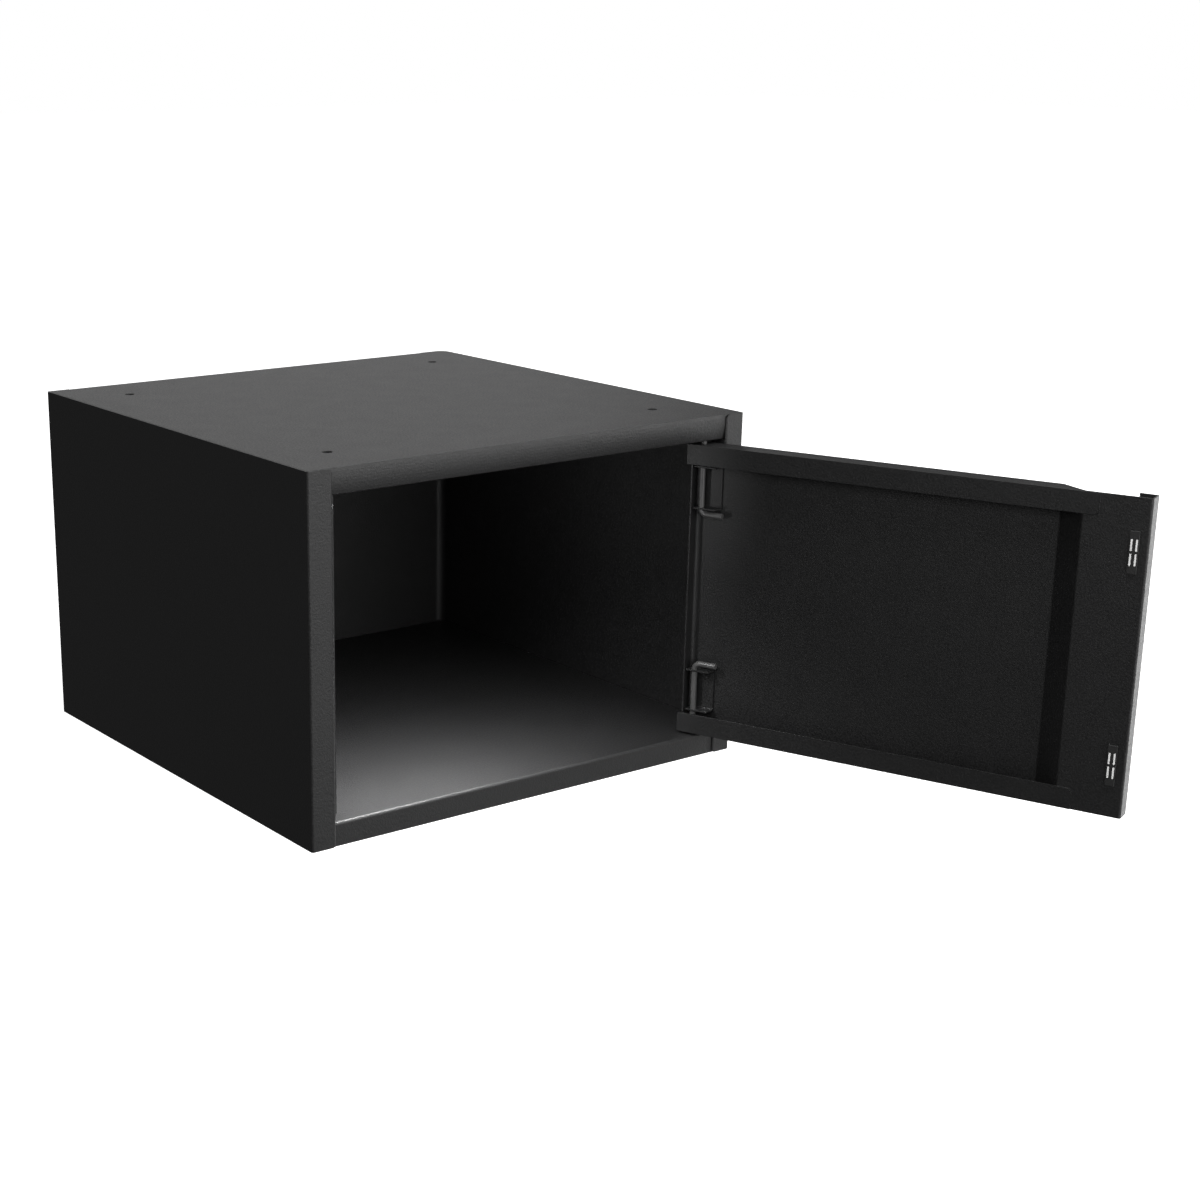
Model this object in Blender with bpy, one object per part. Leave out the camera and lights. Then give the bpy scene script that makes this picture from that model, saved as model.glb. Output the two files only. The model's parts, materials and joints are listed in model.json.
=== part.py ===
"""Small sheet-steel cabinet with one door.

The body is five formed steel sheets: two sides with front strips, a top with a rolled front
edge, a floor with a sill, and a back. The door is one folded sheet that hangs on two L-shaped
pins, each held in a U bracket, and shuts with two magnetic catches.

Body parts are modelled from the lower front left corner: X right, Y back, Z up. Door parts are
modelled from the hinge axis: X along the door's width towards its free end, Y from its inner
to its outer face, Z up. The world origin is the centre of the top face.
"""

import math

import bmesh
import bpy
from mathutils import Matrix, Vector

MM = 0.001

# Body
WIDTH = 406.4 * MM
DEPTH = 405.0 * MM
HEIGHT = 279.4 * MM
SHEET = 1.2 * MM
GAP = 0.3 * MM
LEFT_STRIP = 21.1 * MM
RIGHT_STRIP = 18.5 * MM
CORNER_RADIUS = 2.0 * MM
REAR_RIGHT_RADIUS = 9.0 * MM
FLOOR_TOP = 18.4 * MM
LIP_BOTTOM = 259.6 * MM
JAMB_DEPTH = 17.8 * MM
STOP_REACH = 32.0 * MM
WELD_FLANGE = 14.0 * MM
BOLT_SIDE_INSET = 50.0 * MM
BOLT_END_INSET = 52.0 * MM
BOLT_HOLE = 8.0 * MM

# Hinge axis, in body coordinates, and the door's angle at rest (0 is shut)
HINGE_X = 372.6 * MM
HINGE_Y = 8.1 * MM
OPEN_ANGLE = math.radians(110.7)

# Door, measured from its hinge-side inner edge
DOOR_WIDTH = 357.5 * MM
DOOR_THICK = 16.1 * MM
DOOR_BOTTOM = 20.0 * MM
DOOR_TOP = 257.2 * MM
AXIS_U = 7.6 * MM
AXIS_V = 8.0 * MM
SKIN_END = 289.5 * MM
STRIP_START = 309.5 * MM
LIP_LENGTH = 13.7 * MM
CHANNEL_END = 321.0 * MM
CHANNEL_HEIGHT = 16.2 * MM
RETURN_START = -2.6 * MM

# Hinge hardware
PIN = 4.7 * MM
PIN_HOLE = 5.5 * MM
BRACKET_LENGTH = 34.6 * MM
BRACKET_START = 17.7 * MM
HANDLE_LENGTH = 18.7 * MM
PIN_BEND = 5.0 * MM

# Magnetic catches
CATCH_U = 347.5 * MM
CATCH_FROM_CENTRE = 79.1 * MM
CATCH_WIDTH = 7.1 * MM
CATCH_HEIGHT = 31.2 * MM
CATCH_RIM = 0.5 * MM
CATCH_FACE = -0.2 * MM
CATCH_BACK = 10.8 * MM
POLE_OFFSET = 1.85 * MM
POLE_THICK = 1.3 * MM
POLE_LENGTH = 8.7 * MM
POLE_ROW = 5.3 * MM

AXIS_ORDER = {"X": (2, 0, 1), "Y": (1, 2, 0), "Z": (0, 1, 2)}


def clear_scene():
    for old in list(bpy.data.objects):
        bpy.data.objects.remove(old, do_unlink=True)


def make_material(name, colour, roughness, metallic):
    material = bpy.data.materials.new(name)
    material.use_nodes = True
    shader = material.node_tree.nodes["Principled BSDF"]
    shader.inputs["Base Color"].default_value = (*colour, 1.0)
    shader.inputs["Roughness"].default_value = roughness
    shader.inputs["Metallic"].default_value = metallic
    return material


def make_empty(name, location, angle=0.0, parent=None):
    empty = bpy.data.objects.new(name, None)
    empty.location = location
    empty.rotation_euler = (0.0, 0.0, angle)
    empty.parent = parent
    bpy.context.collection.objects.link(empty)
    return empty


def add_object(name, shape, material, parent, location=(0.0, 0.0, 0.0)):
    """Turn a bmesh into an object whose faces point out."""
    bmesh.ops.recalc_face_normals(shape, faces=shape.faces)
    mesh = bpy.data.meshes.new(name)
    shape.to_mesh(mesh)
    shape.free()
    mesh.shade_smooth()
    mesh.set_sharp_from_angle(angle=math.radians(32.0))
    body = bpy.data.objects.new(name, mesh)
    if material is not None:
        mesh.materials.append(material)
    body.parent = parent
    body.location = location
    bpy.context.collection.objects.link(body)
    return body


def combine(target, tool, operation):
    """Join or cut the target with a tool, which stays in the scene as a guide."""
    tool.hide_render = True
    tool.display_type = "WIRE"
    modifier = target.modifiers.new(tool.name, "BOOLEAN")
    modifier.operation = operation
    modifier.solver = "EXACT"
    modifier.object = tool


def extrude_outline(outline, axis, low, high):
    """Extrude a flat outline along an axis; the outline's pair is the next two axes in turn."""
    shape = bmesh.new()
    order = AXIS_ORDER[axis]
    corners = []
    for first, second in outline:
        triple = (first, second, low)
        corners.append(shape.verts.new([triple[place] for place in order]))
    face = shape.faces.new(corners)
    grown = bmesh.ops.extrude_face_region(shape, geom=[face])
    shift = Vector([(0.0, 0.0, high - low)[place] for place in order])
    moved = [item for item in grown["geom"] if isinstance(item, bmesh.types.BMVert)]
    bmesh.ops.translate(shape, verts=moved, vec=shift)
    return shape


def box(low, high):
    shape = bmesh.new()
    bmesh.ops.create_cube(shape, size=1.0)
    size = Vector(high) - Vector(low)
    centre = (Vector(high) + Vector(low)) / 2
    bmesh.ops.scale(shape, vec=size, verts=shape.verts)
    bmesh.ops.translate(shape, vec=centre, verts=shape.verts)
    return shape


def rod(diameter, low, high, centre, sides=24):
    """An upright rod, used as a drill for round holes."""
    shape = bmesh.new()
    bmesh.ops.create_cone(
        shape, cap_ends=True, segments=sides, radius1=diameter / 2, radius2=diameter / 2, depth=high - low
    )
    bmesh.ops.translate(shape, vec=(centre[0], centre[1], (low + high) / 2), verts=shape.verts)
    return shape


def rounded_path(points, radii, steps=5):
    """Round each inner corner of an open path with an arc of the given radius."""
    path = [Vector(points[0])]
    for index in range(1, len(points) - 1):
        corner = Vector(points[index])
        back = (Vector(points[index - 1]) - corner).normalized()
        ahead = (Vector(points[index + 1]) - corner).normalized()
        half = back.angle(ahead) / 2
        radius = radii[index - 1]
        start = corner + back * (radius / math.tan(half))
        centre = corner + (back + ahead).normalized() * (radius / math.sin(half))
        sweep = math.pi - 2 * half
        turn = 1.0 if back.cross(ahead) < 0 else -1.0
        for step in range(steps + 1):
            spin = Matrix.Rotation(turn * sweep * step / steps, 2)
            path.append(centre + spin @ (start - centre))
    path.append(Vector(points[-1]))
    return path


def sheet_outline(path, thickness=SHEET):
    """Give a path that runs down the middle of a sheet the sheet's thickness."""
    left, right = [], []
    for index, point in enumerate(path):
        before = path[max(index - 1, 0)]
        after = path[min(index + 1, len(path) - 1)]
        into = (point - before).normalized() if index > 0 else (after - point).normalized()
        out = (after - point).normalized() if index < len(path) - 1 else into
        along = (into + out).normalized()
        across = Vector((-along.y, along.x)) * (thickness / 2 / along.dot(out))
        left.append(point + across)
        right.append(point - across)
    return left + right[::-1]


def rounded_rectangle(low, high, radii, steps=6):
    """A rectangle with its own radius at each corner, from the lower left, anticlockwise."""
    centres = [
        (low[0] + radii[0], low[1] + radii[0]),
        (high[0] - radii[1], low[1] + radii[1]),
        (high[0] - radii[2], high[1] - radii[2]),
        (low[0] + radii[3], high[1] - radii[3]),
    ]
    outline = []
    for index, (centre, radius) in enumerate(zip(centres, radii)):
        count = steps if radius > 0 else 0
        for step in range(count + 1):
            angle = math.pi + math.pi / 2 * (index + (step / count if count else 0.0))
            outline.append((centre[0] + radius * math.cos(angle), centre[1] + radius * math.sin(angle)))
    return outline


def cut_jamb(panel, name, low_x, high_x, parent):
    """Keep the jamb behind a strip between the floor and the lip, and clear its ends."""
    clear = 2 * GAP + SHEET
    spans = (
        ("below", -GAP, FLOOR_TOP + GAP),
        ("above", LIP_BOTTOM - GAP, HEIGHT + GAP),
    )
    for word, low, high in spans:
        tool = box((low_x, SHEET, low), (high_x, JAMB_DEPTH + 2 * clear, high))
        combine(panel, add_object(f"{name}_jamb_{word}", tool, None, parent), "DIFFERENCE")


def round_strip_corners(panel, name, edge, direction, parent):
    """Round the strip's inner top and bottom corners; direction points out of the strip."""
    over = 1.0 * MM
    for word, radius, level, upward in (("top", 5.0 * MM, HEIGHT, -1.0), ("bottom", 3.5 * MM, 0.0, 1.0)):
        centre_x = edge - direction * radius
        centre_z = level + upward * radius
        outline = [(edge + direction * over, centre_z), (edge + direction * over, level - upward * over)]
        outline.append((centre_x, level - upward * over))
        steps = 6
        for step in range(steps + 1):
            angle = math.pi / 2 * step / steps
            outline.append((centre_x + direction * radius * math.sin(angle),
                            centre_z - upward * radius * math.cos(angle)))
        swapped = [(z, x) for x, z in outline]
        tool = extrude_outline(swapped, "Y", -over, SHEET + over)
        combine(panel, add_object(f"{name}_corner_{word}", tool, None, parent), "DIFFERENCE")


def left_side_panel(material, parent):
    """Side wall, front strip, jamb bent back behind the strip, stop flange and rear flange."""
    half = SHEET / 2
    points = [
        (20.0 * MM, DEPTH - half),
        (half, DEPTH - half),
        (half, half),
        (LEFT_STRIP - half, half),
        (LEFT_STRIP - half, JAMB_DEPTH - SHEET + half + GAP),
        (STOP_REACH, JAMB_DEPTH - SHEET + half + GAP),
    ]
    bends = [1.5 * MM, CORNER_RADIUS - half, 1.4 * MM, 1.4 * MM]
    outline = sheet_outline(rounded_path(points, bends))
    panel = add_object("left_side_panel", extrude_outline(outline, "Z", 0.0, HEIGHT), material, parent)
    cut_jamb(panel, "left_side_panel", 2 * CORNER_RADIUS, STOP_REACH + MM, parent)
    round_strip_corners(panel, "left_side_panel", LEFT_STRIP, 1.0, parent)
    return panel


def right_side_panel(material, parent):
    """Side wall with the rounded rear corner, front strip and jamb."""
    half = SHEET / 2
    inner = WIDTH - RIGHT_STRIP + half
    points = [
        (WIDTH - 26.0 * MM, DEPTH - half),
        (WIDTH - half, DEPTH - half),
        (WIDTH - half, half),
        (inner, half),
        (inner, JAMB_DEPTH + GAP),
    ]
    bends = [REAR_RIGHT_RADIUS - half, CORNER_RADIUS - half, 1.4 * MM]
    outline = sheet_outline(rounded_path(points, bends, steps=7))
    panel = add_object("right_side_panel", extrude_outline(outline, "Z", 0.0, HEIGHT), material, parent)
    cut_jamb(panel, "right_side_panel", inner - MM, WIDTH - 2 * CORNER_RADIUS, parent)
    round_strip_corners(panel, "right_side_panel", WIDTH - RIGHT_STRIP, -1.0, parent)
    return panel


def panel_plan(front, rear):
    """Plan of a horizontal sheet between the side walls, round at the rear right."""
    inside = SHEET + GAP
    corner = REAR_RIGHT_RADIUS - inside - (DEPTH - inside - rear)
    return rounded_rectangle((inside, front), (WIDTH - inside, rear), (0.0, 0.0, corner, 0.0))


def weld_flanges(panel, name, low, high, front, rear, parent):
    """Flanges along both side edges, to weld the sheet to the side walls."""
    inside = SHEET + GAP
    left = (inside, inside + SHEET)
    right = (WIDTH - inside - SHEET, WIDTH - inside)
    for word, (x_low, x_high) in (("left", left), ("right", right)):
        tool = box((x_low, front, low), (x_high, rear, high))
        combine(panel, add_object(f"{name}_{word}_flange", tool, None, parent), "UNION")


def top_panel(material, parent):
    """Flat top with four bolt holes; its front edge rolls down and turns in as a lip."""
    half = SHEET / 2
    plan = panel_plan(3.8 * MM, DEPTH - SHEET - GAP)
    top = add_object("top_panel", extrude_outline(plan, "Z", HEIGHT - SHEET, HEIGHT), material, parent)
    roll_radius = 45.0 * MM
    roll_front = SHEET + GAP
    roll_level = 272.5 * MM
    path = [Vector((40.0 * MM, HEIGHT - half))]
    steps = 8
    high, low = HEIGHT - half, LIP_BOTTOM + 1.2 * MM
    for step in range(steps + 1):
        level = high + (low - high) * step / steps
        sag = roll_radius - math.sqrt(roll_radius ** 2 - (level - roll_level) ** 2)
        path.append(Vector((roll_front + half + sag, level)))
    path.append(Vector((path[-1].x + 1.1 * MM, LIP_BOTTOM + half)))
    path.append(Vector((JAMB_DEPTH - MM, LIP_BOTTOM + half)))
    end = SHEET + 3 * GAP
    roll = extrude_outline(sheet_outline(path), "X", end, WIDTH - end)
    combine(top, add_object("top_panel_roll", roll, None, parent), "UNION")
    weld_flanges(top, "top_panel", HEIGHT - WELD_FLANGE, HEIGHT - half, 30.0 * MM, 380.0 * MM, parent)
    over = 2.0 * MM
    for x in (BOLT_SIDE_INSET, WIDTH - BOLT_SIDE_INSET):
        for y in (BOLT_END_INSET, DEPTH - BOLT_END_INSET):
            drill = rod(BOLT_HOLE, HEIGHT - SHEET - over, HEIGHT + over, (x, y))
            combine(top, add_object("top_panel_bolt_hole", drill, None, parent), "DIFFERENCE")
    drill = rod(PIN_HOLE, LIP_BOTTOM - over, LIP_BOTTOM + SHEET + over, (HINGE_X, HINGE_Y))
    combine(top, add_object("top_panel_pin_hole", drill, None, parent), "DIFFERENCE")
    return top


def floor_panel(material, parent):
    """Raised floor with the sill bent down in front and weld flanges along the other edges."""
    half = SHEET / 2
    rear = DEPTH - 2 * (SHEET + GAP)
    level = FLOOR_TOP - half
    sill = SHEET + GAP + half
    plan = panel_plan(20.0 * MM, rear)
    floor = add_object("floor_panel", extrude_outline(plan, "Z", FLOOR_TOP - SHEET, FLOOR_TOP), material, parent)
    path = rounded_path([(40.0 * MM, level), (sill, level), (sill, 0.0)], [1.6 * MM])
    front = extrude_outline(sheet_outline(path), "X", SHEET + GAP + CORNER_RADIUS, WIDTH - SHEET - GAP - CORNER_RADIUS)
    combine(floor, add_object("floor_panel_sill", front, None, parent), "UNION")
    weld_flanges(floor, "floor_panel", FLOOR_TOP - WELD_FLANGE, level, 30.0 * MM, 380.0 * MM, parent)
    rear_flange = box((30.0 * MM, rear - SHEET, FLOOR_TOP - WELD_FLANGE), (380.0 * MM, rear, level))
    combine(floor, add_object("floor_panel_rear_flange", rear_flange, None, parent), "UNION")
    over = 2.0 * MM
    drill = rod(PIN_HOLE, FLOOR_TOP - SHEET - over, FLOOR_TOP + over, (HINGE_X, HINGE_Y))
    combine(floor, add_object("floor_panel_pin_hole", drill, None, parent), "DIFFERENCE")
    return floor


def back_panel(material, parent):
    """Flat back inside the side panels' rear flanges, with a weld flange under the top."""
    half = SHEET / 2
    middle = DEPTH - SHEET - GAP - half
    top = HEIGHT - SHEET - GAP - half
    path = rounded_path([(middle, 0.0), (middle, top), (middle - WELD_FLANGE, top)], [1.6 * MM])
    shape = extrude_outline(sheet_outline(path), "X", 2 * SHEET + 2 * GAP + MM, WIDTH - REAR_RIGHT_RADIUS - 1.4 * MM)
    return add_object("back_panel", shape, material, parent)


def door_point(u, v):
    """A place on the door, measured from its hinge-side inner edge, as hinge coordinates."""
    return (u - AXIS_U, v - AXIS_V)


def door_panel(material, parent):
    """Folded sheet: hinge flange, skin, slanted wall, strip, end flange and lip, then channels."""
    half = SHEET / 2
    strip_v = 1.3 * MM + half
    skin_v = DOOR_THICK - half
    end_u = DOOR_WIDTH - half
    points = [
        door_point(half, 3.0 * MM),
        door_point(half, skin_v),
        door_point(SKIN_END, skin_v),
        door_point(STRIP_START, strip_v),
        door_point(end_u, strip_v),
        door_point(end_u, skin_v),
        door_point(DOOR_WIDTH - LIP_LENGTH, skin_v),
    ]
    bends = [3.6 * MM, 3.0 * MM, 2.0 * MM, 1.2 * MM, 1.2 * MM]
    path = rounded_path(points, bends)
    outline = sheet_outline(path)
    door = add_object("door_panel", extrude_outline(outline, "Z", DOOR_BOTTOM, DOOR_TOP), material, parent)
    channels(door, path, parent)
    cutouts(door, parent)
    return door


def channels(door, path, parent):
    """Top and bottom channels: a flat flange out to the skin and a return across the inner face."""
    inset = 0.2 * MM
    tail = 8.0 * MM
    skin = [point for point in path if point.x < STRIP_START - AXIS_U + tail]
    plan = [door_point(inset, 0.0)]
    plan += [(max(point.x, inset - AXIS_U), point.y) for point in skin if point.y > 3.5 * MM - AXIS_V]
    plan.append(door_point(STRIP_START + 2.0 * MM, 2.0 * MM))
    plan.append(door_point(CHANNEL_END, 2.0 * MM))
    plan.append(door_point(CHANNEL_END, 0.0))
    radius = 4.5 * MM
    left, right = door_point(RETURN_START, 0.0)[0], door_point(CHANNEL_END, 0.0)[0]
    inner = -AXIS_V
    spans = (
        ("top", DOOR_TOP - SHEET, DOOR_TOP - inset, DOOR_TOP - CHANNEL_HEIGHT, DOOR_TOP - inset,
         (1.5 * MM, radius, 0.0, 0.0)),
        ("bottom", DOOR_BOTTOM + inset, DOOR_BOTTOM + SHEET, DOOR_BOTTOM + inset,
         DOOR_BOTTOM + CHANNEL_HEIGHT, (0.0, 0.0, radius, 1.5 * MM)),
    )
    for word, low, high, return_low, return_high, radii in spans:
        flange = extrude_outline(plan, "Z", low, high)
        combine(door, add_object(f"door_panel_{word}_flange", flange, None, parent), "UNION")
        face = rounded_rectangle((left, return_low), (right, return_high), radii)
        swapped = [(z, x) for x, z in face]
        across = extrude_outline(swapped, "Y", inner, inner + SHEET + 0.2 * MM)
        combine(door, add_object(f"door_panel_{word}_return", across, None, parent), "UNION")


def cutouts(door, parent):
    """Pin holes through both channels and a window in the strip for each catch."""
    over = 2.0 * MM
    holes = (("top", DOOR_TOP - SHEET - over, DOOR_TOP + over), ("bottom", DOOR_BOTTOM - over, DOOR_BOTTOM + SHEET + over))
    for word, low, high in holes:
        drill = rod(PIN_HOLE, low, high, (0.0, 0.0))
        combine(door, add_object(f"door_panel_{word}_pin_hole", drill, None, parent), "DIFFERENCE")
    for word, sign in (("upper", 1.0), ("lower", -1.0)):
        middle = (DOOR_TOP + DOOR_BOTTOM) / 2 + sign * CATCH_FROM_CENTRE
        half_u = CATCH_WIDTH / 2 - CATCH_RIM + GAP
        half_z = CATCH_HEIGHT / 2 - CATCH_RIM + GAP
        low = (*door_point(CATCH_U - half_u, 0.0), middle - half_z)
        high = (*door_point(CATCH_U + half_u, 4.0 * MM), middle + half_z)
        combine(door, add_object(f"door_panel_{word}_window", box(low, high), None, parent), "DIFFERENCE")


def hinge_bracket(name, low, material, parent):
    """U bracket spot-welded to the skin: a web, and two ears that guide the pin."""
    half = SHEET / 2
    high = low + BRACKET_LENGTH
    front, web = 4.6 * MM - AXIS_V, 14.6 * MM - half - AXIS_V
    left, right = 1.8 * MM - AXIS_U, 22.4 * MM - AXIS_U
    points = [(front, low + half), (web, low + half), (web, high - half), (front, high - half)]
    path = rounded_path(points, [1.4 * MM, 1.4 * MM])
    bracket = add_object(name, extrude_outline(sheet_outline(path), "X", left, right), material, parent)
    taper = 1.6 * MM
    over = 1.0 * MM
    taper_end = web - 2.6 * MM
    narrowed = [(right - taper, front - over), (right + over, front - over), (right + over, taper_end)]
    narrowed += [(right, taper_end), (right - taper, front)]
    fold = 2.8 * MM
    rear = web + half
    relief = [(left - over, rear + over), (left - over, rear - fold), (left, rear - fold), (left + fold, rear)]
    relief.append((left + fold, rear + over))
    for word, outline in (("taper", narrowed), ("relief", relief)):
        tool = extrude_outline(outline, "Z", low - over, high + over)
        combine(bracket, add_object(f"{name}_{word}", tool, None, parent), "DIFFERENCE")
    drill = rod(PIN_HOLE, low - over, high + over, (0.0, 0.0))
    combine(bracket, add_object(f"{name}_pin_hole", drill, None, parent), "DIFFERENCE")
    return bracket


def hinge_pin(name, tip, handle, material, parent):
    """L-shaped round pin: an upright shank on the hinge axis and a handle bent along the door."""
    direction = 1.0 if tip > handle else -1.0
    curve = bpy.data.curves.new(name, "CURVE")
    curve.dimensions = "3D"
    curve.bevel_depth = PIN / 2
    curve.bevel_resolution = 4
    curve.use_fill_caps = True
    points = [Vector((0.0, 0.0, tip)), Vector((0.0, 0.0, handle + direction * (PIN_BEND + 12.0 * MM)))]
    steps = 7
    for step in range(steps + 1):
        angle = math.pi / 2 * step / steps
        x = PIN_BEND - PIN_BEND * math.cos(angle)
        z = handle + direction * (PIN_BEND - PIN_BEND * math.sin(angle))
        points.append(Vector((x, 0.0, z)))
    points.append(Vector((HANDLE_LENGTH, 0.0, handle)))
    spline = curve.splines.new("POLY")
    spline.points.add(len(points) - 1)
    for place, point in zip(spline.points, points):
        place.co = (*point, 1.0)
    curve.materials.append(material)
    pin = bpy.data.objects.new(name, curve)
    pin.parent = parent
    bpy.context.collection.objects.link(pin)
    return pin


def catch_housing(name, middle, material, parent):
    """Plastic block behind a face plate that covers its window, with a slot for each pole plate."""
    u = CATCH_U - AXIS_U
    face, back = CATCH_FACE - AXIS_V, CATCH_BACK - AXIS_V
    half_u, half_z = CATCH_WIDTH / 2, CATCH_HEIGHT / 2
    plate = box((u - half_u, face, middle - half_z), (u + half_u, face + SHEET, middle + half_z))
    housing = add_object(name, plate, material, parent)
    rim = housing.modifiers.new("rim", "BEVEL")
    rim.width = 0.4 * MM
    rim.segments = 2
    rim.limit_method = "ANGLE"
    half_u -= CATCH_RIM
    half_z -= CATCH_RIM
    block = box((u - half_u, face + SHEET / 2, middle - half_z), (u + half_u, back, middle + half_z))
    combine(housing, add_object(f"{name}_block", block, None, parent), "UNION")
    lug_low, lug_high = 2.9 * MM - AXIS_V, 4.5 * MM - AXIS_V
    reach = half_z + 2.3 * MM
    lug = box((u - half_u + MM, lug_low, middle - reach), (u + half_u - MM, lug_high, middle + reach))
    combine(housing, add_object(f"{name}_lugs", lug, None, parent), "UNION")
    pocket_u, pocket_low, pocket_high = 2.7 * MM, 0.65 * MM, 10.2 * MM
    floor_v = face + 1.0 * MM
    over = 1.0 * MM
    for row in (1.0, -1.0):
        ends = sorted((middle + row * pocket_low, middle + row * pocket_high))
        pocket = box((u - pocket_u, floor_v, ends[0]), (u + pocket_u, back + over, ends[1]))
        combine(housing, add_object(f"{name}_pocket", pocket, None, parent), "DIFFERENCE")
        for column in (1.0, -1.0):
            slot_u = u + column * POLE_OFFSET
            slot_z = middle + row * POLE_ROW
            wide, tall = POLE_THICK / 2 + 0.22 * MM, POLE_LENGTH / 2 + 0.25 * MM
            slot = box((slot_u - wide, face - over, slot_z - tall), (slot_u + wide, floor_v + over, slot_z + tall))
            combine(housing, add_object(f"{name}_slot", slot, None, parent), "DIFFERENCE")
    return housing


def catch_inside(name, middle, plate_material, magnet_material, parent):
    """Two magnets one above the other, each between two steel pole plates."""
    u = CATCH_U - AXIS_U
    face = CATCH_FACE - AXIS_V
    for row_word, row in (("upper", 1.0), ("lower", -1.0)):
        z = middle + row * POLE_ROW
        half = POLE_LENGTH / 2
        for column_word, column in (("inner", -1.0), ("outer", 1.0)):
            x = u + column * POLE_OFFSET
            low = (x - POLE_THICK / 2, face, z - half)
            high = (x + POLE_THICK / 2, face + 8.2 * MM, z + half)
            add_object(f"{name}_{row_word}_{column_word}_pole", box(low, high), plate_material, parent)
        wide = POLE_OFFSET - POLE_THICK / 2 - GAP
        magnet = box((u - wide, face + 1.4 * MM, z - half), (u + wide, face + 7.8 * MM, z + half))
        add_object(f"{name}_{row_word}_magnet", magnet, magnet_material, parent)


def build_cabinet():
    clear_scene()
    coat = make_material("powder_coat", (0.022, 0.022, 0.023), 0.55, 0.0)
    plated = make_material("pin_steel", (0.10, 0.10, 0.105), 0.40, 0.6)
    plastic = make_material("catch_plastic", (0.02, 0.02, 0.02), 0.45, 0.0)
    bright = make_material("pole_steel", (0.75, 0.75, 0.74), 0.25, 1.0)
    ferrite = make_material("ferrite", (0.05, 0.05, 0.055), 0.60, 0.0)

    body = make_empty("body_corner", (-WIDTH / 2, -DEPTH / 2, -HEIGHT))
    left_side_panel(coat, body)
    right_side_panel(coat, body)
    top_panel(coat, body)
    floor_panel(coat, body)
    back_panel(coat, body)

    hinge = make_empty("hinge_axis", (HINGE_X, HINGE_Y, 0.0), OPEN_ANGLE - math.pi, body)
    door_panel(coat, hinge)
    lower_bracket = DOOR_BOTTOM + BRACKET_START
    upper_bracket = DOOR_TOP - BRACKET_START - BRACKET_LENGTH
    hinge_bracket("lower_hinge_bracket", lower_bracket, coat, hinge)
    hinge_bracket("upper_hinge_bracket", upper_bracket, coat, hinge)
    pin_reach = 4.0 * MM
    upper_handle = upper_bracket - 4.2 * MM
    lower_handle = lower_bracket + BRACKET_LENGTH + 5.0 * MM
    hinge_pin("upper_hinge_pin", LIP_BOTTOM + pin_reach, upper_handle, plated, hinge)
    hinge_pin("lower_hinge_pin", FLOOR_TOP - SHEET - pin_reach, lower_handle, plated, hinge)
    for word, sign in (("upper", 1.0), ("lower", -1.0)):
        middle = (DOOR_TOP + DOOR_BOTTOM) / 2 + sign * CATCH_FROM_CENTRE
        catch_housing(f"{word}_catch_housing", middle, plastic, hinge)
        catch_inside(f"{word}_catch", middle, bright, ferrite, hinge)


build_cabinet()
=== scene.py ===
"""Low steel storage cabinet with one door, which hangs on two pull-out hinge pins.

The pieces come in the order in which the cabinet is made: body sheets, seam beads, door, hinge
brackets, hinge pins and magnetic catches. The studio around it comes last.
"""

import json
import math

import bmesh
import bpy
from mathutils import Matrix, Vector


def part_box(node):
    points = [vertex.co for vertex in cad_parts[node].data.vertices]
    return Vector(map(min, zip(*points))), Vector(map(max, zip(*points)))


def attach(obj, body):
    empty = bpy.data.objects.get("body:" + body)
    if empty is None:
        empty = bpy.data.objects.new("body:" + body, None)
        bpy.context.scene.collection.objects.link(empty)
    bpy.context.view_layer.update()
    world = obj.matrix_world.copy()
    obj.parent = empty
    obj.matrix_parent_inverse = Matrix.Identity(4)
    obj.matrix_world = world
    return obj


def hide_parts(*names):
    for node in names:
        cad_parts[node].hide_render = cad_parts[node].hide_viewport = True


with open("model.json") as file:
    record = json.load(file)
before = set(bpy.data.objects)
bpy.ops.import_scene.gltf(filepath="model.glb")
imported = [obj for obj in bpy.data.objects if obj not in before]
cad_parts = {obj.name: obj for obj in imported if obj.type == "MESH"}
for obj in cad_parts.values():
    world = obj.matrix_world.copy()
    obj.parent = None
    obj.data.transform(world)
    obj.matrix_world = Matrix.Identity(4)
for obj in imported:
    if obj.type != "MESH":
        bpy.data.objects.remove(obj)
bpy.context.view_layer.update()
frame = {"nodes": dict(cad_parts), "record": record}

MM = 0.001

# ---------------------------------------------------------------------------------------------
# Body sheets: two sides, top, floor and back, in 1.2 mm cold-rolled steel folded on a brake.
# They are spot-welded through hidden flanges, then sprayed with fine-textured black powder and
# baked, so one satin, faintly pebbled skin runs over every face, bend and cut edge.

body_sheets = ("left_side_panel", "right_side_panel", "top_panel", "floor_panel", "back_panel")
powder_dark = (0.0040, 0.0040, 0.0042)
powder_light = (0.0084, 0.0084, 0.0086)
powder_edge = 0.35 * MM


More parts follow.
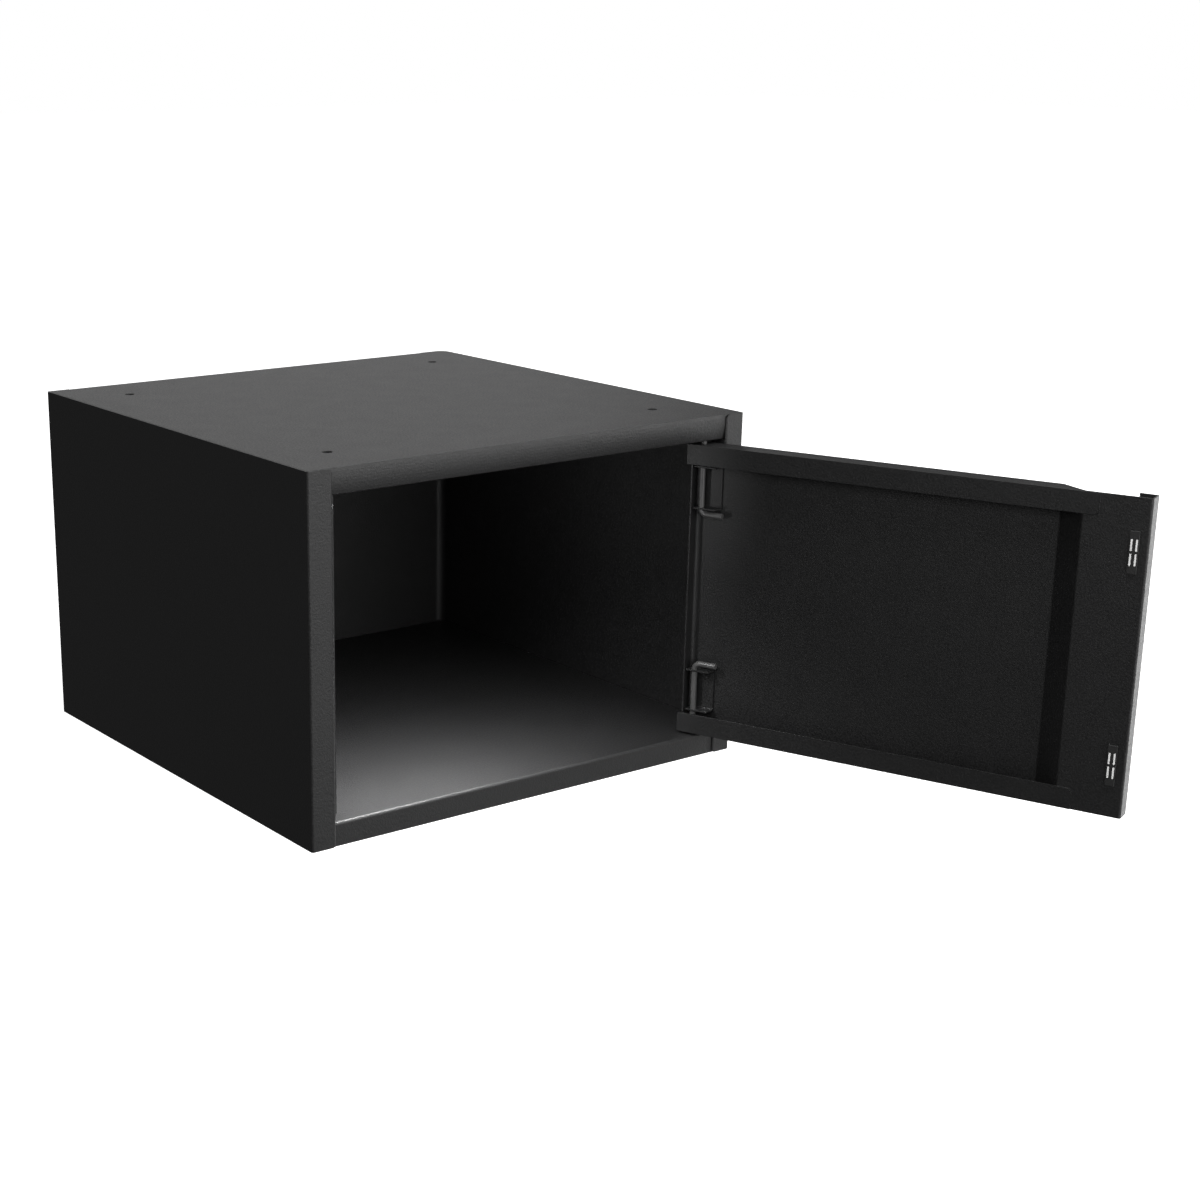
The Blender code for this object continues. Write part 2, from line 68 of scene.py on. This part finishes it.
def surface_grain_group():
    """Fine grain over broad patches, as a mask for colour, a roughness and a bump height."""
    group = bpy.data.node_groups.new("surface_grain", "ShaderNodeTree")
    numbers = (
        ("Grains per metre", 1000.0),
        ("Patches per metre", 30.0),
        ("Patch share", 0.3),
        ("Roughness low", 0.45),
        ("Roughness high", 0.55),
    )
    for name, value in numbers:
        socket = group.interface.new_socket(name, in_out="INPUT", socket_type="NodeSocketFloat")
        socket.default_value = value
    stretch = group.interface.new_socket("Stretch", in_out="INPUT", socket_type="NodeSocketVector")
    stretch.default_value = (1.0, 1.0, 1.0)
    for name in ("Mask", "Roughness", "Height"):
        group.interface.new_socket(name, in_out="OUTPUT", socket_type="NodeSocketFloat")
    nodes, links = group.nodes, group.links
    entry = nodes.new("NodeGroupInput")
    leave = nodes.new("NodeGroupOutput")
    place = nodes.new("ShaderNodeTexCoord")
    drawn = nodes.new("ShaderNodeVectorMath")
    drawn.operation = "MULTIPLY"
    grain = nodes.new("ShaderNodeTexNoise")
    grain.inputs["Detail"].default_value = 3.0
    grain.inputs["Roughness"].default_value = 0.62
    patches = nodes.new("ShaderNodeTexNoise")
    patches.inputs["Detail"].default_value = 4.0
    blend = nodes.new("ShaderNodeMix")
    spread = nodes.new("ShaderNodeMapRange")
    spread.inputs["From Min"].default_value = 0.32
    spread.inputs["From Max"].default_value = 0.68
    rough = nodes.new("ShaderNodeMapRange")
    links.new(place.outputs["Object"], drawn.inputs[0])
    links.new(entry.outputs["Stretch"], drawn.inputs[1])
    links.new(drawn.outputs["Vector"], grain.inputs["Vector"])
    links.new(place.outputs["Object"], patches.inputs["Vector"])
    links.new(entry.outputs["Grains per metre"], grain.inputs["Scale"])
    links.new(entry.outputs["Patches per metre"], patches.inputs["Scale"])
    links.new(entry.outputs["Patch share"], blend.inputs["Factor"])
    links.new(grain.outputs["Fac"], blend.inputs["A"])
    links.new(patches.outputs["Fac"], blend.inputs["B"])
    links.new(blend.outputs["Result"], spread.inputs["Value"])
    links.new(spread.outputs["Result"], rough.inputs["Value"])
    links.new(entry.outputs["Roughness low"], rough.inputs["To Min"])
    links.new(entry.outputs["Roughness high"], rough.inputs["To Max"])
    links.new(spread.outputs["Result"], leave.inputs["Mask"])
    links.new(rough.outputs["Result"], leave.inputs["Roughness"])
    links.new(grain.outputs["Fac"], leave.inputs["Height"])
    return group


surface_grain = surface_grain_group()


def grained_material(name, dark, light, grain_values, relief, edge=None):
    """A Principled finish whose colour, roughness and relief follow the surface grain."""
    material = bpy.data.materials.new(name)
    material.use_nodes = True
    nodes, links = material.node_tree.nodes, material.node_tree.links
    shader = nodes["Principled BSDF"]
    grain = nodes.new("ShaderNodeGroup")
    grain.node_tree = surface_grain
    for socket, value in grain_values.items():
        grain.inputs[socket].default_value = value
    tone = nodes.new("ShaderNodeMix")
    tone.data_type = "RGBA"
    colours = [socket for socket in tone.inputs if socket.type == "RGBA"]
    colours[0].default_value = (*dark, 1.0)
    colours[1].default_value = (*light, 1.0)
    bump = nodes.new("ShaderNodeBump")
    bump.inputs["Strength"].default_value = 0.5
    bump.inputs["Distance"].default_value = relief
    links.new(grain.outputs["Mask"], tone.inputs["Factor"])
    links.new([socket for socket in tone.outputs if socket.type == "RGBA"][0], shader.inputs["Base Color"])
    links.new(grain.outputs["Roughness"], shader.inputs["Roughness"])
    links.new(grain.outputs["Height"], bump.inputs["Height"])
    if edge is not None:
        rounding = nodes.new("ShaderNodeBevel")
        rounding.samples = 6
        rounding.inputs["Radius"].default_value = edge
        links.new(rounding.outputs["Normal"], bump.inputs["Normal"])
    links.new(bump.outputs["Normal"], shader.inputs["Normal"])
    return material


powder_grain = {
    "Grains per metre": 640.0,
    "Patches per metre": 45.0,
    "Patch share": 0.15,
    "Roughness low": 0.42,
    "Roughness high": 0.58,
}
black_powder = grained_material(
    "black_powder_coat", powder_dark, powder_light, powder_grain, 0.50 * MM, powder_edge)
black_powder.node_tree.nodes["Principled BSDF"].inputs["Specular IOR Level"].default_value = 0.5


def finish_node(node, material):
    """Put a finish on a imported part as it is."""
    part = frame["nodes"][node]
    part.data.materials.clear()
    part.data.materials.append(material)


for sheet in body_sheets:
    finish_node(sheet, black_powder)

# ---------------------------------------------------------------------------------------------
# Seam beads: where the top meets the side walls and the back, the welder's filler and the coat
# close the joint. Each is a thin round bead along the joint, level with the sheets beside it.

bead_radius = 0.30 * MM
sheet_edge = 1.35 * MM
side_low, side_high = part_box("left_side_panel")[0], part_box("right_side_panel")[1]
seam_level = side_high[2] - bead_radius


def swept_rod_tree(name):
    """Sweep a round section along every path in the base mesh, thinned where its girth says."""
    tree = bpy.data.node_groups.new(name, "GeometryNodeTree")
    tree.interface.new_socket("Paths", in_out="INPUT", socket_type="NodeSocketGeometry")
    tree.interface.new_socket("Radius", in_out="INPUT", socket_type="NodeSocketFloat")
    tree.interface.new_socket("Sides", in_out="INPUT", socket_type="NodeSocketInt")
    tree.interface.new_socket("Finish", in_out="INPUT", socket_type="NodeSocketMaterial")
    tree.interface.new_socket("Rods", in_out="OUTPUT", socket_type="NodeSocketGeometry")
    nodes, links = tree.nodes, tree.links
    entry = nodes.new("NodeGroupInput")
    leave = nodes.new("NodeGroupOutput")
    girth = nodes.new("GeometryNodeInputNamedAttribute")
    girth.data_type = "FLOAT"
    girth.inputs["Name"].default_value = "girth"
    path = nodes.new("GeometryNodeMeshToCurve")
    thin = nodes.new("GeometryNodeSetCurveRadius")
    section = nodes.new("GeometryNodeCurvePrimitiveCircle")
    sweep = nodes.new("GeometryNodeCurveToMesh")
    sweep.inputs["Fill Caps"].default_value = True
    joined = nodes.new("GeometryNodeRealizeInstances")
    painted = nodes.new("GeometryNodeSetMaterial")
    links.new(entry.outputs["Paths"], path.inputs["Mesh"])
    links.new(path.outputs["Curve"], thin.inputs["Curve"])
    links.new(girth.outputs["Attribute"], thin.inputs["Radius"])
    links.new(entry.outputs["Radius"], section.inputs["Radius"])
    links.new(entry.outputs["Sides"], section.inputs["Resolution"])
    links.new(thin.outputs["Curve"], sweep.inputs["Curve"])
    links.new(section.outputs["Curve"], sweep.inputs["Profile Curve"])
    links.new(sweep.outputs["Mesh"], joined.inputs["Geometry"])
    links.new(joined.outputs["Geometry"], painted.inputs["Geometry"])
    links.new(entry.outputs["Finish"], painted.inputs["Material"])
    links.new(painted.outputs["Geometry"], leave.inputs["Rods"])
    return tree


def path_object(name, paths):
    """A mesh of bare edges; each path is a list of (point, girth)."""
    mesh = bpy.data.meshes.new(name)
    points, edges, girths = [], [], []
    for path in paths:
        start = len(points)
        points += [point for point, girth in path]
        girths += [girth for point, girth in path]
        edges += [(start + step, start + step + 1) for step in range(len(path) - 1)]
    mesh.from_pydata([tuple(point) for point in points], edges, [])
    mesh.attributes.new("girth", "FLOAT", "POINT").data.foreach_set("value", girths)
    base = bpy.data.objects.new(name, mesh)
    bpy.context.collection.objects.link(base)
    return base


def grow(base, tree, values, place=Matrix.Identity(4), sharp=40.0):
    """Run a tree on its base, and give back one plain mesh object with its place in its mesh."""
    modifier = base.modifiers.new(tree.name, "NODES")
    modifier.node_group = tree
    for item in tree.interface.items_tree:
        if item.item_type == "SOCKET" and item.in_out == "INPUT" and item.name in values:
            modifier[item.identifier] = values[item.name]
    name = base.name
    grown = base.evaluated_get(bpy.context.evaluated_depsgraph_get())
    mesh = bpy.data.meshes.new_from_object(grown)
    base.modifiers.remove(modifier)
    bpy.data.objects.remove(base, do_unlink=True)
    mesh.transform(place)
    shape = bmesh.new()
    shape.from_mesh(mesh)
    bmesh.ops.remove_doubles(shape, verts=shape.verts, dist=0.002 * MM)
    bmesh.ops.recalc_face_normals(shape, faces=shape.faces)
    shape.to_mesh(mesh)
    shape.free()
    mesh.shade_smooth()
    mesh.set_sharp_from_angle(angle=math.radians(sharp))
    piece = bpy.data.objects.new(name, mesh)
    bpy.context.collection.objects.link(piece)
    return piece


swept_rod = swept_rod_tree("swept_rod")
front, rear = side_low[1] + 2.6 * MM, side_high[1] - sheet_edge
rear_round = 9.0 * MM
seam_paths = [
    [((side_low[0] + sheet_edge, front, seam_level), 1.0), ((side_low[0] + sheet_edge, rear, seam_level), 1.0)],
    [((side_high[0] - sheet_edge, front, seam_level), 1.0),
     ((side_high[0] - sheet_edge, side_high[1] - rear_round, seam_level), 1.0)],
    [((side_low[0] + 2.0 * MM, rear, seam_level), 1.0), ((side_high[0] - rear_round, rear, seam_level), 1.0)],
]
turn_centre = Vector((side_high[0] - rear_round, side_high[1] - rear_round, seam_level))
turn = []
turn_steps = 8
reach = rear_round - sheet_edge
for step in range(turn_steps + 1):
    angle = math.pi / 2 * step / turn_steps
    turn.append((turn_centre + Vector((reach * math.cos(angle), reach * math.sin(angle), 0.0)), 1.0))
seam_paths.append(turn)
seams = grow(path_object("top_seam_beads", seam_paths), swept_rod,
             {"Radius": bead_radius, "Sides": 8, "Finish": black_powder})
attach(seams, "cabinet")

# ---------------------------------------------------------------------------------------------
# Door: one sheet folded into a shallow pan, with a finger recess and a turned-in lip at its free
# edge and a channel welded along its top and bottom. It is sprayed and baked with the body.

finish_node("door_panel", black_powder)

# ---------------------------------------------------------------------------------------------
# Hinge brackets: two small U strips spot-welded inside the door's pan, one near each end. Their
# drilled ears guide the pins. They are under the same powder as the door.

for bracket in ("upper_hinge_bracket", "lower_hinge_bracket"):
    finish_node(bracket, black_powder)

# ---------------------------------------------------------------------------------------------
# Hinge pins: two lengths of round steel rod, bent at one end into a finger grip, cropped and
# chamfered at both ends. They drop or lift out of the frame's holes, so they are left bare, with
# a dull dark oxide and a faint fine grain.

pin_bend = 5.0 * MM
grip_length = 18.7 * MM
pin_radius = 2.35 * MM
chamfer = 0.5 * MM
bend_steps = 10
pin_finish = grained_material(
    "dark_rod_steel", (0.055, 0.055, 0.056), (0.085, 0.084, 0.083),
    {"Grains per metre": 1500.0, "Patches per metre": 160.0, "Patch share": 0.5,
     "Roughness low": 0.34, "Roughness high": 0.50}, 0.03 * MM)
pin_shader = pin_finish.node_tree.nodes["Principled BSDF"]
pin_shader.inputs["Metallic"].default_value = 0.2

hinge = next(joint for joint in frame["record"]["behaviour"]["joints"] if joint["type"] == "hinge")
swing = math.radians(-hinge["range_deg"][0])
hinge_foot = Matrix.Translation((hinge["pos_m"][0], hinge["pos_m"][1], 0.0))
door_place = hinge_foot @ Matrix.Rotation(swing - math.pi, 4, "Z")


def bent_pin(name, node, body, grip_down):
    """An upright shank on the hinge axis with a finger grip, chamfered at both ends."""
    low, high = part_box(node)
    tip, grip = (high[2], low[2] + pin_radius) if grip_down else (low[2], high[2] - pin_radius)
    way = 1.0 if grip_down else -1.0
    path = [((0.0, 0.0, tip), 1.0 - chamfer / pin_radius), ((0.0, 0.0, tip - way * chamfer), 1.0)]
    path.append(((0.0, 0.0, (tip + grip) / 2), 1.0))
    for step in range(bend_steps + 1):
        angle = math.pi / 2 * step / bend_steps
        x = pin_bend - pin_bend * math.cos(angle)
        z = grip + way * (pin_bend - pin_bend * math.sin(angle))
        path.append(((x, 0.0, z), 1.0))
    path.append(((grip_length - chamfer, 0.0, grip), 1.0))
    path.append(((grip_length, 0.0, grip), 1.0 - chamfer / pin_radius))
    pin = grow(path_object(name, [path]), swept_rod,
               {"Radius": pin_radius, "Sides": 32, "Finish": pin_finish}, door_place, 30.0)
    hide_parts(node)
    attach(pin, body)


bent_pin("upper_pin_rod", "upper_hinge_pin", "upper_pin", True)
bent_pin("lower_pin_rod", "lower_hinge_pin", "lower_pin", False)

# ---------------------------------------------------------------------------------------------
# Magnetic catches: a black moulded case snapped into the door's edge strip, with two ferrite
# magnets inside, each between a pair of plated steel pole plates, coloured near-white as a
# painted reflection. Only the plates' ends show, through four narrow slots. They are stamped, so
# their edges and corners are eased.

catch_plastic = grained_material(
    "moulded_black_plastic", (0.017, 0.017, 0.017), (0.023, 0.023, 0.023),
    {"Grains per metre": 2600.0, "Patches per metre": 120.0, "Patch share": 0.25,
     "Roughness low": 0.36, "Roughness high": 0.46}, 0.03 * MM, 0.2 * MM)
# Pole plates: a near-white colour with little metal in it is a painted reflection that stands in for the plated
# steel's bright shine.
pole_painted_reflection = grained_material(
    "pole_plate_painted_reflection", (0.90, 0.90, 0.89), (0.98, 0.98, 0.97),
    {"Grains per metre": 3000.0, "Patches per metre": 300.0, "Patch share": 0.3,
     "Roughness low": 0.30, "Roughness high": 0.42, "Stretch": (1.0, 1.0, 0.06)}, 0.008 * MM)
pole_painted_reflection.node_tree.nodes["Principled BSDF"].inputs["Metallic"].default_value = 0.1
ferrite = grained_material(
    "sintered_ferrite", (0.030, 0.030, 0.032), (0.060, 0.060, 0.064),
    {"Grains per metre": 2200.0, "Patches per metre": 200.0, "Patch share": 0.3,
     "Roughness low": 0.55, "Roughness high": 0.75}, 0.05 * MM)


def pole_plate_tree():
    """Stand a stamped plate on every base point: a filleted section swept along the plate."""
    tree = bpy.data.node_groups.new("pole_plates", "GeometryNodeTree")
    tree.interface.new_socket("Places", in_out="INPUT", socket_type="NodeSocketGeometry")
    for name in ("Thickness", "Length", "Depth", "Corner"):
        tree.interface.new_socket(name, in_out="INPUT", socket_type="NodeSocketFloat")
    tree.interface.new_socket("Finish", in_out="INPUT", socket_type="NodeSocketMaterial")
    tree.interface.new_socket("Plates", in_out="OUTPUT", socket_type="NodeSocketGeometry")
    nodes, links = tree.nodes, tree.links
    entry = nodes.new("NodeGroupInput")
    leave = nodes.new("NodeGroupOutput")
    section = nodes.new("GeometryNodeCurvePrimitiveQuadrilateral")
    eased = nodes.new("GeometryNodeFilletCurve")
    eased.mode = "POLY"
    eased.inputs["Count"].default_value = 4
    reach = nodes.new("ShaderNodeCombineXYZ")
    line = nodes.new("GeometryNodeCurvePrimitiveLine")
    parts = nodes.new("GeometryNodeResampleCurve")
    parts.inputs["Count"].default_value = 12
    along = nodes.new("GeometryNodeSplineParameter")
    taper = nodes.new("ShaderNodeMapRange")
    taper.inputs["From Max"].default_value = 0.09
    taper.inputs["To Min"].default_value = 0.90
    thin = nodes.new("GeometryNodeSetCurveRadius")
    sweep = nodes.new("GeometryNodeCurveToMesh")
    sweep.inputs["Fill Caps"].default_value = True
    stand = nodes.new("GeometryNodeInstanceOnPoints")
    joined = nodes.new("GeometryNodeRealizeInstances")
    painted = nodes.new("GeometryNodeSetMaterial")
    links.new(entry.outputs["Thickness"], section.inputs["Width"])
    links.new(entry.outputs["Length"], section.inputs["Height"])
    links.new(section.outputs["Curve"], eased.inputs["Curve"])
    links.new(entry.outputs["Corner"], eased.inputs["Radius"])
    links.new(entry.outputs["Depth"], reach.inputs["Y"])
    links.new(reach.outputs["Vector"], line.inputs["End"])
    links.new(line.outputs["Curve"], parts.inputs["Curve"])
    links.new(along.outputs["Factor"], taper.inputs["Value"])
    links.new(parts.outputs["Curve"], thin.inputs["Curve"])
    links.new(taper.outputs["Result"], thin.inputs["Radius"])
    links.new(thin.outputs["Curve"], sweep.inputs["Curve"])
    links.new(eased.outputs["Curve"], sweep.inputs["Profile Curve"])
    links.new(entry.outputs["Places"], stand.inputs["Points"])
    links.new(sweep.outputs["Mesh"], stand.inputs["Instance"])
    links.new(stand.outputs["Instances"], joined.inputs["Geometry"])
    links.new(joined.outputs["Geometry"], painted.inputs["Geometry"])
    links.new(entry.outputs["Finish"], painted.inputs["Material"])
    links.new(painted.outputs["Geometry"], leave.inputs["Plates"])
    return tree


pole_plates = pole_plate_tree()
pole_sizes = {"Thickness": 1.3 * MM, "Length": 8.7 * MM, "Depth": 8.2 * MM, "Corner": 0.5 * MM}
into_door = door_place.inverted()
for catch in ("upper", "lower"):
    finish_node(f"{catch}_catch_housing", catch_plastic)
    places, stood_for = [], []
    for row in ("upper", "lower"):
        finish_node(f"{catch}_catch_{row}_magnet", ferrite)
        for column in ("inner", "outer"):
            node = f"{catch}_catch_{row}_{column}_pole"
            low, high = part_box(node)
            corners = [into_door @ Vector(point.co) for point in frame["nodes"][node].data.vertices]
            face = min(point.y for point in corners)
            middle = (min(point.x for point in corners) + max(point.x for point in corners)) / 2
            places.append((middle, face, (low[2] + high[2]) / 2))
            stood_for.append(node)
    base_mesh = bpy.data.meshes.new(f"{catch}_catch_poles")
    base_mesh.from_pydata(places, [], [])
    base = bpy.data.objects.new(f"{catch}_catch_poles", base_mesh)
    bpy.context.collection.objects.link(base)
    poles = grow(base, pole_plates, {**pole_sizes, "Finish": pole_painted_reflection}, door_place, 50.0)
    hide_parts(*stood_for)
    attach(poles, "door")

# ---------------------------------------------------------------------------------------------
# Studio: a pale floor that runs off into a white surround, soft lamps around the cabinet, three
# small lamps behind its left strip and top edge for the inner faces, and the camera in front of
# the left corner.

ground_mesh = bpy.data.meshes.new("studio_floor")
ground = bmesh.new()
bmesh.ops.create_grid(ground, x_segments=1, y_segments=1, size=12.0)
bmesh.ops.translate(ground, verts=ground.verts, vec=(0.0, 0.0, side_low[2] - 0.2 * MM))
ground.to_mesh(ground_mesh)
ground.free()
studio_floor = bpy.data.objects.new("studio_floor", ground_mesh)
bpy.context.collection.objects.link(studio_floor)
paper = bpy.data.materials.new("white_paper")
paper.use_nodes = True
paper_shader = paper.node_tree.nodes["Principled BSDF"]
paper_shader.inputs["Base Color"].default_value = (0.8, 0.8, 0.8, 1.0)
paper_shader.inputs["Roughness"].default_value = 0.9
paper_shader.inputs["Emission Color"].default_value = (1.0, 1.0, 1.0, 1.0)
paper_shader.inputs["Emission Strength"].default_value = 0.95
ground_mesh.materials.append(paper)
studio_floor.visible_diffuse = False
studio_floor.visible_glossy = False
studio_floor.visible_shadow = False

world = bpy.data.worlds.new("studio")
world.use_nodes = True
surround = world.node_tree
seen = surround.nodes["Background"]
seen.inputs["Color"].default_value = (1.0, 1.0, 1.0, 1.0)
fill = surround.nodes.new("ShaderNodeBackground")
fill.inputs["Color"].default_value = (1.0, 1.0, 1.0, 1.0)
fill.inputs["Strength"].default_value = 0.096
ray = surround.nodes.new("ShaderNodeLightPath")
pick = surround.nodes.new("ShaderNodeMixShader")
surround.links.new(ray.outputs["Is Camera Ray"], pick.inputs["Fac"])
surround.links.new(fill.outputs["Background"], pick.inputs[1])
surround.links.new(seen.outputs["Background"], pick.inputs[2])
surround.links.new(pick.outputs["Shader"], surround.nodes["World Output"].inputs["Surface"])
bpy.context.scene.world = world
bpy.context.scene.view_settings.view_transform = "Standard"


def soft_lamp(name, place, aim, width, height, power, spread=180.0):
    """A rectangular lamp turned to its aim; spread is in degrees, power in watts."""
    lamp = bpy.data.lights.new(name, "AREA")
    lamp.shape = "RECTANGLE"
    lamp.size = width
    lamp.size_y = height
    lamp.energy = power
    lamp.spread = math.radians(spread)
    holder = bpy.data.objects.new(name, lamp)
    holder.location = place
    holder.rotation_euler = (Vector(aim) - Vector(place)).to_track_quat("-Z", "Y").to_euler()
    holder.visible_camera = False
    bpy.context.collection.objects.link(holder)


soft_lamp("front_top_lamp", (0.1, -0.9, 1.6), (0.1, -0.2, -0.2), 1.2, 0.8, 28.1)
soft_lamp("front_right_lamp", (1.3, -1.7, 0.5), (0.0, -0.2, -0.15), 1.0, 1.0, 20.1)
soft_lamp("right_lamp", (1.9, -0.3, 0.3), (0.2, -0.4, -0.15), 1.4, 1.4, 8.6)
soft_lamp("low_right_lamp", (1.8, -0.25, -0.45), (0.3, -0.45, -0.15), 1.2, 1.1, 15.5)
soft_lamp("back_lamp", (0.9, 2.2, 1.0), (0.0, 0.0, 0.0), 2.4, 1.4, 10.2)
soft_lamp("front_lamp", (0.0, -2.2, 0.1), (0.0, 0.0, -0.15), 1.4, 0.8, 14.9)
soft_lamp("low_front_lamp", (0.9, -1.6, -0.5), (0.1, -0.2, -0.15), 1.2, 0.8, 3.0)
soft_lamp("left_front_lamp", (-1.6, -1.3, 0.9), (0.0, -0.2, -0.15), 1.0, 1.0, 17.6)
soft_lamp("narrow_inner_lamp", (-0.09, -0.176, -0.05), (-0.09, -0.176, -0.26), 0.16, 0.02, 0.4, 90.0)
soft_lamp("side_inner_lamp", (-0.166, -0.174, -0.09), (0.20, -0.06, -0.06), 0.012, 0.12, 0.06, 56.0)
soft_lamp("wide_inner_lamp", (-0.09, -0.176, -0.03), (-0.09, -0.176, -0.26), 0.20, 0.02, 1.6, 125.0)

camera_data = bpy.data.cameras.new("camera")
camera_data.sensor_width = 36.0
camera_data.lens = 63.58
camera_data.shift_x = 0.1585
camera_data.shift_y = 0.0695
camera_data.clip_end = 50.0
camera = bpy.data.objects.new("camera", camera_data)
camera.location = (-0.9599, -1.4099, 0.2920)
looking = Vector((0.54633, 0.78308, -0.29717))
camera.rotation_euler = looking.to_track_quat("-Z", "Y").to_euler()
bpy.context.collection.objects.link(camera)
bpy.context.scene.camera = camera
